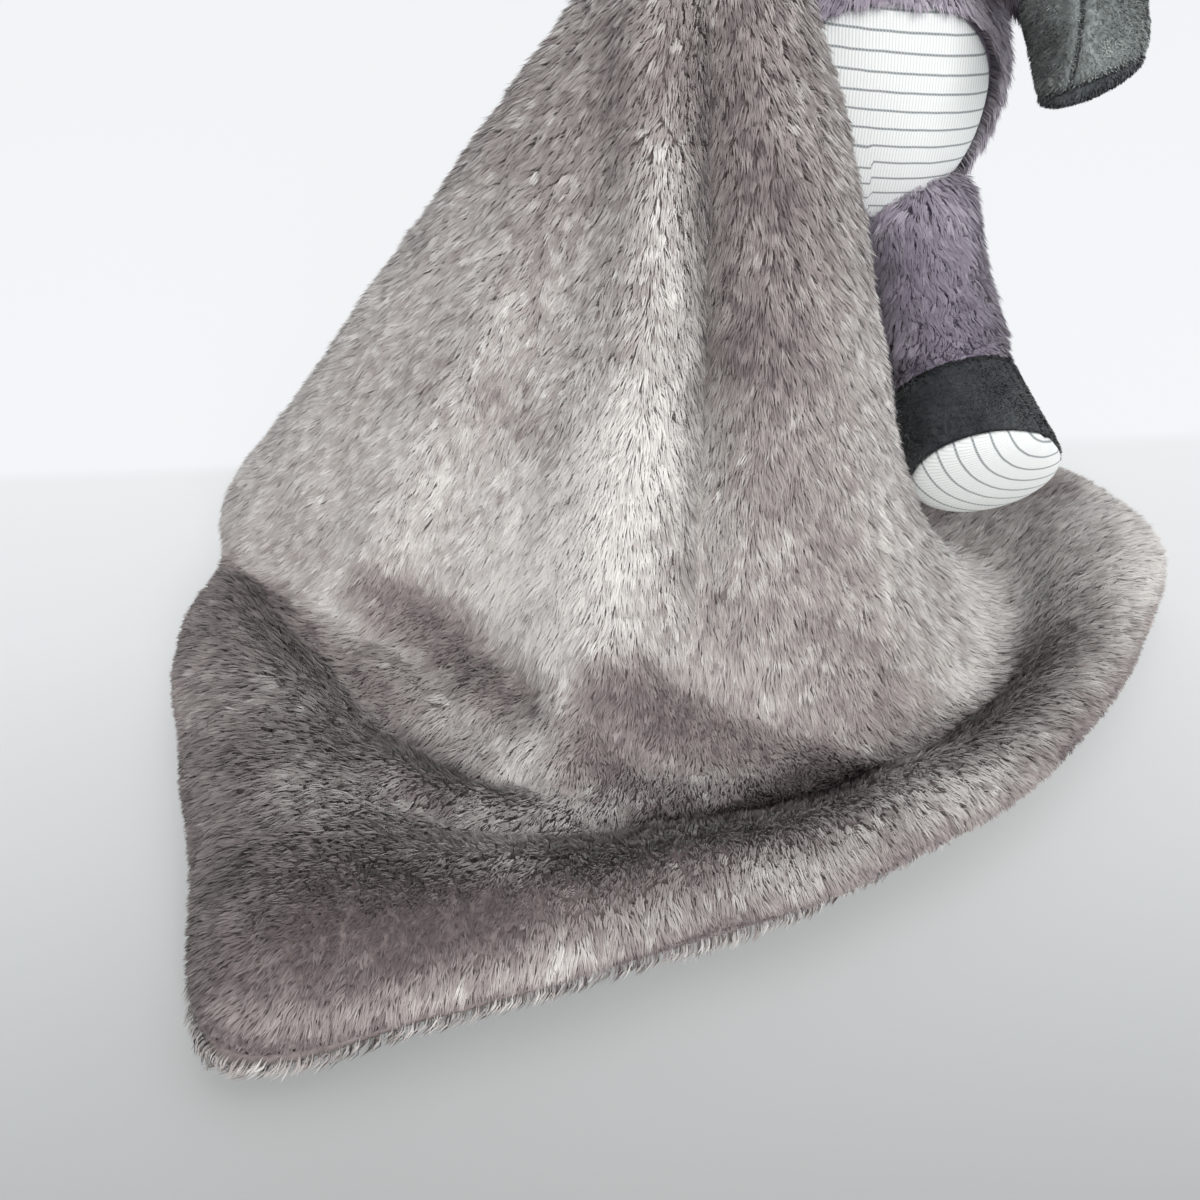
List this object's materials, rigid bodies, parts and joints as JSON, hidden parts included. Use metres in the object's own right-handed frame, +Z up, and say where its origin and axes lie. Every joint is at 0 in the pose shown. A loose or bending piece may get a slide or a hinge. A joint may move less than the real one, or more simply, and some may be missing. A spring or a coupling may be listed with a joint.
{
  "type": "comfort blanket lovey",
  "caption": "Plush donkey toy whose hoof is stitched to a square double-layer plush blanket that spreads in a cone over the floor.",
  "frame": {"origin": "a point on the floor, on the flat underside of the blanket's front, 120 mm in front of the stitched point that the hoof holds", "axes": "+Z up, -Y the way the toy faces, +X towards the toy's left hand"},
  "size_m": [0.3361, 0.3016, 0.3531],
  "materials": {
    "grey_plush": "long-pile plush, matt, combed downwards",
    "lavender_fur": "shaggy plush fur, matt",
    "charcoal_velour": "short-pile velour, matt",
    "pale_velour": "short-pile velour, matt",
    "striped_knit": "fine knit with narrow grey stripes, matt",
    "thread": "satin-stitched thread, slight sheen",
    "stuffing": "polyester fibre, matt"
  },
  "bodies": {
    "body": {"body_back_cover": "lavender_fur", "belly_panel": "striped_knit", "body_stuffing": "stuffing", "blanket_top_layer": "grey_plush", "blanket_under_layer": "grey_plush", "paw_tack": "thread", "arm_sleeve_right": "lavender_fur", "arm_hoof_right": "charcoal_velour", "arm_hoof_cap_right": "charcoal_velour", "arm_stuffing_right": "stuffing"},
    "head": {"head_cover": "lavender_fur", "muzzle_cover": "pale_velour", "head_stuffing": "stuffing", "mane": "lavender_fur", "eye_stitching_left": "thread", "eye_stitching_right": "thread", "nostril_stitching_left": "thread", "nostril_stitching_right": "thread"},
    "ear_left": {"ear_back_left": "lavender_fur", "ear_lining_left": "striped_knit"},
    "ear_right": {"ear_back_right": "lavender_fur", "ear_lining_right": "striped_knit"},
    "arm_left": {"arm_sleeve_left": "lavender_fur", "arm_hoof_left": "charcoal_velour", "arm_hoof_cap_left": "charcoal_velour", "arm_stuffing_left": "stuffing"},
    "leg_left": {"leg_sleeve_left": "lavender_fur", "leg_hoof_left": "charcoal_velour", "leg_sole_left": "striped_knit", "leg_stuffing_left": "stuffing"},
    "leg_right": {"leg_sleeve_right": "lavender_fur", "leg_hoof_right": "charcoal_velour", "leg_sole_right": "striped_knit", "leg_stuffing_right": "stuffing"},
    "tail": {"tail_sleeve": "lavender_fur", "tail_tuft": "lavender_fur"}
  },
  "joints": [
    {"name": "head_turn", "type": "hinge", "parent": "body", "child": "head", "pos_m": [0.0607, 0.183, 0.21437], "axis": [0.0698, 0, 0.9976], "range_deg": [-14, 4]},
    {"name": "ear_left_flop", "type": "hinge", "parent": "head", "child": "ear_left", "pos_m": [0.0822, 0.17781, 0.27718], "axis": [0.9404, 0, -0.3401], "range_deg": [-2, 15], "stiffness_Nm_per_rad": 0.004},
    {"name": "ear_right_flop", "type": "hinge", "parent": "head", "child": "ear_right", "pos_m": [0.04815, 0.17781, 0.27956], "axis": [0.9404, 0, 0.3401], "range_deg": [-2, 15], "stiffness_Nm_per_rad": 0.004},
    {"name": "arm_left_lift", "type": "hinge", "parent": "body", "child": "arm_left", "pos_m": [0.08668, 0.17399, 0.20205], "axis": [0, -1, 0], "range_deg": [0, 26]},
    {"name": "leg_left_kick", "type": "hinge", "parent": "body", "child": "leg_left", "pos_m": [0.07476, 0.16975, 0.11645], "axis": [-1, 0, 0], "range_deg": [-1.5, 15]},
    {"name": "leg_right_kick", "type": "hinge", "parent": "body", "child": "leg_right", "pos_m": [0.03951, 0.16975, 0.11645], "axis": [-1, 0, 0], "range_deg": [-12, 4]},
    {"name": "tail_swing", "type": "hinge", "parent": "body", "child": "tail", "pos_m": [0.05526, 0.21387, 0.13659], "axis": [0, 1, 0], "range_deg": [-20, 20]}
  ]
}
